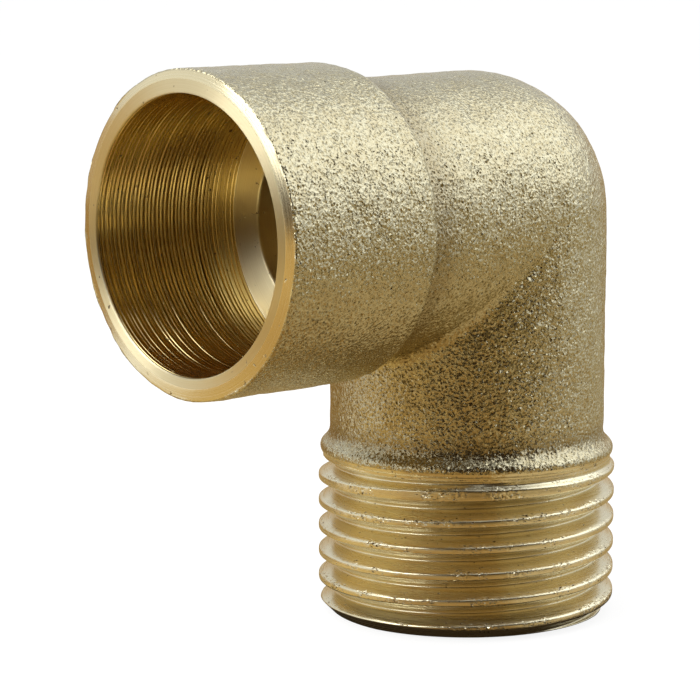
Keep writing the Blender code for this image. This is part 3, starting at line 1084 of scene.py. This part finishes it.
@dataclass
class Elbow:
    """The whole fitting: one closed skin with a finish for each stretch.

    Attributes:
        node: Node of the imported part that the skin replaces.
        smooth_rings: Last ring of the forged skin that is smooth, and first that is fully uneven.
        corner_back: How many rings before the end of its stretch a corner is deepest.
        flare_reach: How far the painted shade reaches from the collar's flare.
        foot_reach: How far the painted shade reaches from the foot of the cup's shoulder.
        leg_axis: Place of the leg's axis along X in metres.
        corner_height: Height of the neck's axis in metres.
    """

    node: str = "elbow_body"
    arms: ForgedArms = field(default_factory=ForgedArms)
    waterway: Waterway = field(default_factory=Waterway)
    smooth_rings: tuple[int, int] = (2, 8)
    corner_back: int = 3
    flare_reach: float = 0.65
    foot_reach: float = 1.6
    end: ThreadedEnd = field(init=False)
    cup: SolderCup = field(init=False)
    leg_axis: float = field(init=False)
    corner_height: float = field(init=False)

    def __post_init__(self) -> None:
        """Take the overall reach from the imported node's box."""
        low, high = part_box(self.node)
        thread_radius, cup_radius = ThreadedEnd.major_radius, SolderCup.bore_radius + SolderCup.wall
        self.leg_axis = high[0] - thread_radius * MM
        self.corner_height = high[2] - cup_radius * MM
        self.end = ThreadedEnd(length_to_corner=(self.corner_height - low[2]) / MM)
        self.cup = SolderCup(mouth=(self.leg_axis - low[0]) / MM)

    @property
    def corner(self) -> tuple[float, float, float]:
        """Place where the two axes cross, in metres."""
        return (self.leg_axis, 0.0, self.corner_height)

    def bands(self) -> list[Band]:
        """Collect the skin's stretches in order and roughen the forged ones.

        Returns:
            The stretches, from the thread's end face round to the leg's hole.
        """
        end, cup, arms, holes = self.end, self.cup, self.arms, self.waterway
        leg_from = end.flare_top - end.length_to_corner
        face, thread, collar = end.bands(arms.leg_radius, holes.leg_hole)
        outside = [collar, *arms.bands(leg_from, cup.shoulder_foot), *cup.outside(arms.neck_radius)]
        skin = np.concatenate([band.rings for band in outside])
        share = ramp(np.arange(len(skin)), *self.smooth_rings)
        # Painted shade in the corners by the collar's flare and by the foot of the cup's shoulder
        flare = len(collar.rings) - self.corner_back
        foot = len(skin) - len(outside[-1].rings) - self.corner_back
        scale = arms.scale_kept(skin, {flare: self.flare_reach, foot: self.foot_reach})
        forged = Band(arms.roughen(skin, share), Surface.FORGED, scale)
        water = holes.bands(cup.mouth - cup.depth, -end.length_to_corner, end.hole_chamfer)
        return [face, thread, forged, *cup.rim(), *cup.bore(holes.neck_hole), *water]

    def build(self) -> bpy.types.Object:
        """Join the stretches into one closed mesh.

        Returns:
            The elbow.
        """
        bands = self.bands()
        rings = np.concatenate([band.rings for band in bands])
        count = len(rings)
        points = rings.reshape(-1, 3) * MM + self.corner
        ring, step = np.meshgrid(np.arange(count), np.arange(RING_POINTS), indexing="ij")
        following, above = (step + 1) % RING_POINTS, (ring + 1) % count
        corners = np.stack((ring * RING_POINTS + step, ring * RING_POINTS + following,
                            above * RING_POINTS + following, above * RING_POINTS + step), axis=-1)
        slots = np.repeat([band.surface.value for band in bands], [len(band.rings) for band in bands])
        mesh = bpy.data.meshes.new("elbow")
        mesh.from_pydata(points.tolist(), [], corners.reshape(-1, 4).tolist())
        mesh.polygons.foreach_set("material_index", np.repeat(slots, RING_POINTS).astype(np.int32))
        kept = [np.zeros(len(band.rings)) if band.scale is None else band.scale for band in bands]
        layer = mesh.attributes.new(SCALE_LAYER, 'FLOAT', 'POINT')
        layer.data.foreach_set("value", np.repeat(np.concatenate(kept), RING_POINTS).astype(np.float32))
        mesh.shade_smooth()
        mesh.update()
        piece = bpy.data.objects.new("elbow", mesh)
        bpy.context.scene.collection.objects.link(piece)
        return piece

    def dress(self, piece: bpy.types.Object) -> None:
        """Give every stretch its finish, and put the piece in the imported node's place.

        Args:
            piece: The elbow.
        """
        for surface in Surface:
            if surface is Surface.FORGED:
                piece.data.materials.append(BlastedBrass().material())
            else:
                piece.data.materials.append(MACHINED[surface].material(self.corner))
        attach(piece, "root")
        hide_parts(self.node)


# Studio

def direction(azimuth: float, elevation: float) -> Vector:
    """Give the unit vector from the object towards an azimuth and elevation in degrees.

    Args:
        azimuth: Direction round the object; 0 is on the -Y side and 90 on the +X side.
        elevation: Degrees above the floor.

    Returns:
        The unit vector.
    """
    turn, lift = math.radians(azimuth), math.radians(elevation)
    return Vector((math.sin(turn) * math.cos(lift), -math.cos(turn) * math.cos(lift), math.sin(lift)))


def stand(made: bpy.types.Object, target: Vector, azimuth: float, elevation: float, distance: float) -> None:
    """Stand a lamp or a camera in the scene, facing a point.

    Args:
        made: The lamp or camera.
        target: Point that it faces.
        azimuth: Direction round the point in degrees.
        elevation: Degrees above the point.
        distance: Distance from the point in millimetres.
    """
    back = direction(azimuth, elevation)
    made.location = target + back * distance * MM
    made.rotation_mode = 'QUATERNION'
    made.rotation_quaternion = (-back).to_track_quat('-Z', 'Y')
    bpy.context.scene.collection.objects.link(made)


@dataclass(frozen=True)
class Softbox:
    """A soft rectangular lamp that faces the elbow.

    Attributes:
        azimuth: Direction round the object in degrees; 0 is on the -Y side and 90 on the +X side.
        elevation: Degrees above the floor.
        size: Width and height in millimetres.
        level: Brightness of its face, where 1 is paper white.
        distance: Distance from the point that the camera looks at, in millimetres.
    """

    name: str
    azimuth: float
    elevation: float
    size: tuple[float, float]
    level: float
    distance: float = 340.0

    def build(self, target: Vector) -> None:
        """Put up the lamp.

        Args:
            target: Point that it faces.
        """
        lamp = bpy.data.lights.new(self.name, 'AREA')
        lamp.shape = 'RECTANGLE'
        lamp.size, lamp.size_y = self.size[0] * MM, self.size[1] * MM
        lamp.energy = self.level * math.pi * lamp.size * lamp.size_y
        stand(bpy.data.objects.new(self.name, lamp), target, self.azimuth, self.elevation, self.distance)


def glowing_card(name: str, points: list[Vector], across: int, colour: str) -> None:
    """Put up a glowing card, a painted reflection that gives the metal something other than white walls to
    mirror.

    It shows only in reflections: the floor takes no light from it, and no view is blocked by it.

    Args:
        name: Name of the card.
        points: Its grid of points, row by row.
        across: Number of points in a row.
        colour: sRGB colour that it has in the metal.
    """
    rows = range(len(points) // across - 1)
    starts = [row * across + place for row in rows for place in range(across - 1)]
    mesh = bpy.data.meshes.new(name)
    mesh.from_pydata(points, [], [(start, start + 1, start + across + 1, start + across) for start in starts])
    material, tree = new_tree(name)
    glow = add_node(tree, "ShaderNodeEmission", {"Color": linear_colour(colour), "Strength": 1.0})
    add_node(tree, "ShaderNodeOutputMaterial", {"Surface": glow.outputs[0]})
    mesh.materials.append(material)
    made = bpy.data.objects.new(name, mesh)
    made.visible_camera = made.visible_diffuse = made.visible_shadow = False
    bpy.context.scene.collection.objects.link(made)


@dataclass(frozen=True)
class FloorCard:
    """A glowing card on the floor, cut as a slice of a ring about the leg: a painted reflection of the floor.

    Attributes:
        turn: Azimuths of its two sides in degrees.
        reach: Distances of its two edges from the leg's axis in millimetres.
        colour: sRGB colour that it has in the metal.
        facet: Degrees of turn for each straight piece of its edges.
    """

    name: str
    turn: tuple[float, float]
    reach: tuple[float, float]
    colour: str
    facet: float = 5.0

    def build(self, leg_axis: float) -> None:
        """Lay the card.

        Args:
            leg_axis: Place of the leg's axis along X in metres.
        """
        foot = Vector((leg_axis, 0.0, 0.0))
        turns = np.linspace(*self.turn, round((self.turn[1] - self.turn[0]) / self.facet) + 1)
        points = [foot + direction(turn, 0.0) * reach * MM for reach in self.reach for turn in turns]
        glowing_card(self.name, points, len(turns), self.colour)


@dataclass(frozen=True)
class Flag:
    """A curved glowing card that stands round the elbow: a painted reflection.

    Attributes:
        turn: Azimuths of its two sides in degrees.
        lift: Elevations of its lower and upper edge in degrees.
        colour: sRGB colour that it has in the metal.
        distance: Distance from the point that the camera looks at, in millimetres.
        grid: Number of points across and up.
    """

    name: str
    turn: tuple[float, float]
    lift: tuple[float, float]
    colour: str
    distance: float = 450.0
    grid: tuple[int, int] = (15, 7)

    def build(self, target: Vector) -> None:
        """Stand the card up.

        Args:
            target: Point that it stands round.
        """
        turns, lifts = np.linspace(*self.turn, self.grid[0]), np.linspace(*self.lift, self.grid[1])
        points = [target + direction(turn, lift) * self.distance * MM for lift in lifts for turn in turns]
        glowing_card(self.name, points, len(turns), self.colour)


def seen_or_mirrored(tree: bpy.types.NodeTree) -> bpy.types.NodeSocket:
    """Tell what is looked at from what only lights a surface.

    Args:
        tree: Node tree to add to.

    Returns:
        1 for what is seen straight, in metal or through glass, and 0 for what lights a surface.
    """
    path = add_node(tree, "ShaderNodeLightPath")
    straight = add_node(tree, "ShaderNodeMath", {
        0: path.outputs["Is Camera Ray"], 1: path.outputs["Is Glossy Ray"]}, operation='MAXIMUM')
    return add_node(tree, "ShaderNodeMath", {
        0: straight.outputs[0], 1: path.outputs["Is Transmission Ray"]}, operation='MAXIMUM').outputs[0]


@dataclass(frozen=True)
class Studio:
    """White paper floor and walls, soft lamps, glowing cards that only the metal sees as painted reflections,
    and the camera.

    Attributes:
        aim_from_leg: Point that the camera looks at, from the foot of the leg's axis in millimetres.
        focal_pixels: Focal length in pixels of the picture.
        floor_size: Side of the floor in millimetres.
        card_height: Height of the cards above the paper in millimetres; the elbow stands level with them.
        wall_level: Brightness of the walls, where 1 is paper white.
        paper_glow: Brightness that lifts the paper to white where it is seen or mirrored.
        paper_colour: Colour of the paper under the lamps, which carries the shadow.
        glossy_bounces: Reflections that light may take inside the bore.
    """

    azimuth: float = -42.62
    elevation: float = 8.98
    distance: float = 170.2
    aim_from_leg: tuple[float, float, float] = (-11.204, 0.0, 19.528)
    focal_pixels: float = 2521.75
    image_pixels: int = 700
    floor_size: float = 6000.0
    card_height: float = 0.05
    wall_level: float = 0.74
    paper_glow: float = 0.86
    paper_colour: str = "#7A7A7A"
    white: str = "#FFFFFF"
    glossy_bounces: int = 10
    lamps: tuple[Softbox, ...] = (
        Softbox("key_softbox", azimuth=-103.0, elevation=40.0, size=(230.0, 190.0), level=3.2),
        Softbox("low_left_softbox", azimuth=-98.0, elevation=22.0, size=(180.0, 130.0), level=2.6),
        Softbox("top_softbox", azimuth=-140.0, elevation=66.0, size=(240.0, 200.0), level=2.4),
        Softbox("left_softbox", azimuth=-147.0, elevation=14.0, size=(240.0, 180.0), level=0.2,
                distance=380.0),
        Softbox("right_softbox", azimuth=62.0, elevation=42.0, size=(400.0, 300.0), level=1.05,
                distance=360.0),
        Softbox("front_softbox", azimuth=30.0, elevation=25.0, size=(180.0, 140.0), level=0.35),
    )
    # The dark flag is a painted reflection of the unlit room behind the camera
    flags: tuple[Flag, ...] = (
        Flag("dark_flag", turn=(-115.0, 30.0), lift=(-3.0, 62.0), colour="#352717"),
        Flag("beige_flag", turn=(100.0, 215.0), lift=(-3.0, 9.0), colour="#C2A67E"),
    )
    # Painted reflections of the floor round the elbow
    cards: tuple[FloorCard, ...] = (
        # Painted shadow on the floor right under the leg's foot, seen only in the metal
        FloorCard("foot_shadow_card", turn=(-180.0, 180.0), reach=(0.0, 13.0), colour="#2E2418"),
        # The ring nearest the leg paints the floor's shade under the elbow and the gold light that the brass
        # throws onto it
        FloorCard("near_left_card", turn=(-145.0, -90.0), reach=(13.0, 60.0), colour="#D8B878"),
        FloorCard("near_front_card", turn=(-90.0, -20.0), reach=(13.0, 60.0), colour="#AE8A52"),
        FloorCard("near_right_card", turn=(-20.0, 50.0), reach=(13.0, 60.0), colour="#D0B88C"),
        FloorCard("near_back_card", turn=(50.0, 215.0), reach=(13.0, 60.0), colour="#B49A6A"),
        FloorCard("honey_card", turn=(-125.0, -85.0), reach=(60.0, 120.0), colour="#C4A064"),
        FloorCard("pale_card", turn=(-85.0, -52.0), reach=(60.0, 120.0), colour="#EEDDB0"),
        FloorCard("shadow_card", turn=(-52.0, 40.0), reach=(60.0, 120.0), colour="#1A1208"),
        FloorCard("left_card", turn=(-125.0, -88.0), reach=(120.0, 450.0), colour="#D8B474"),
        FloorCard("dark_card", turn=(-88.0, -30.0), reach=(120.0, 450.0), colour="#6A563A"),
        FloorCard("gold_card", turn=(-30.0, 40.0), reach=(120.0, 450.0), colour="#E0C278"),
        FloorCard("tan_card", turn=(-150.0, -125.0), reach=(120.0, 450.0), colour="#E6CC96"),
        FloorCard("back_card", turn=(110.0, 210.0), reach=(60.0, 450.0), colour="#A07C44"),
        FloorCard("right_card", turn=(40.0, 110.0), reach=(60.0, 450.0), colour="#C4B694"),
    )

    def aim(self, leg_axis: float) -> Vector:
        """Give the point that the camera looks at."""
        return Vector((leg_axis, 0.0, 0.0)) + Vector(self.aim_from_leg) * MM

    def camera(self, leg_axis: float) -> None:
        """Place the camera where the photograph was taken from.

        Args:
            leg_axis: Place of the leg's axis along X in metres.
        """
        lens = bpy.data.cameras.new("camera")
        lens.sensor_fit = 'HORIZONTAL'
        lens.sensor_width = 36.0
        lens.lens = self.focal_pixels / self.image_pixels * lens.sensor_width
        lens.clip_start, lens.clip_end = 0.01, 20.0
        made = bpy.data.objects.new("camera", lens)
        stand(made, self.aim(leg_axis), self.azimuth, self.elevation, self.distance)
        bpy.context.scene.camera = made

    def world(self) -> None:
        """Make the pale walls of the studio."""
        world = bpy.data.worlds.new("white_studio")
        world.use_nodes = True
        tree = world.node_tree
        tree.nodes.clear()
        glow = add_node(tree, "ShaderNodeBackground", {
            "Color": linear_colour(self.white), "Strength": self.wall_level})
        add_node(tree, "ShaderNodeOutputWorld", {"Surface": glow.outputs[0]})
        bpy.context.scene.world = world

    def floor(self) -> None:
        """Lay the white paper floor that the elbow stands on."""
        half, down = self.floor_size * MM / 2, -self.card_height * MM
        corners = [(-half, -half, down), (half, -half, down), (half, half, down), (-half, half, down)]
        mesh = bpy.data.meshes.new("paper_floor")
        mesh.from_pydata(corners, [], [(0, 1, 2, 3)])
        # Matt paper gives no highlight, and takes only a soft shadow under the elbow
        paper, tree = new_tree("white_paper")
        lift = add_node(tree, "ShaderNodeMapRange", {
            "Value": seen_or_mirrored(tree), "To Max": self.paper_glow})
        matt = add_node(tree, "ShaderNodeBsdfPrincipled", {
            "Base Color": linear_colour(self.paper_colour), "Roughness": 1.0, "Specular IOR Level": 0.0,
            "Emission Color": linear_colour(self.white), "Emission Strength": lift.outputs[0]})
        add_node(tree, "ShaderNodeOutputMaterial", {"Surface": matt.outputs[0]})
        mesh.materials.append(paper)
        made = bpy.data.objects.new("paper_floor", mesh)
        bpy.context.scene.collection.objects.link(made)

    def build(self, leg_axis: float) -> None:
        """Set up the camera, the walls, the floor, the flags, the cards and the lamps.

        Args:
            leg_axis: Place of the leg's axis along X in metres.
        """
        self.camera(leg_axis)
        self.world()
        self.floor()
        for flag in self.flags:
            flag.build(self.aim(leg_axis))
        for card in self.cards:
            card.build(leg_axis)
        for lamp in self.lamps:
            lamp.build(self.aim(leg_axis))
        bpy.context.scene.view_settings.view_transform = 'Standard'
        bpy.context.scene.cycles.glossy_bounces = self.glossy_bounces


def main() -> None:
    """Build the elbow and the studio round it."""
    logging.basicConfig(level=logging.INFO, format="%(name)s: %(message)s")
    elbow = Elbow()
    Studio().build(elbow.leg_axis)
    piece = elbow.build()
    elbow.dress(piece)
    LOG.info("%s: %d points, %d faces, %d finishes", piece.name, len(piece.data.vertices),
             len(piece.data.polygons), len(piece.data.materials))


if __name__ == "__main__":
    main()
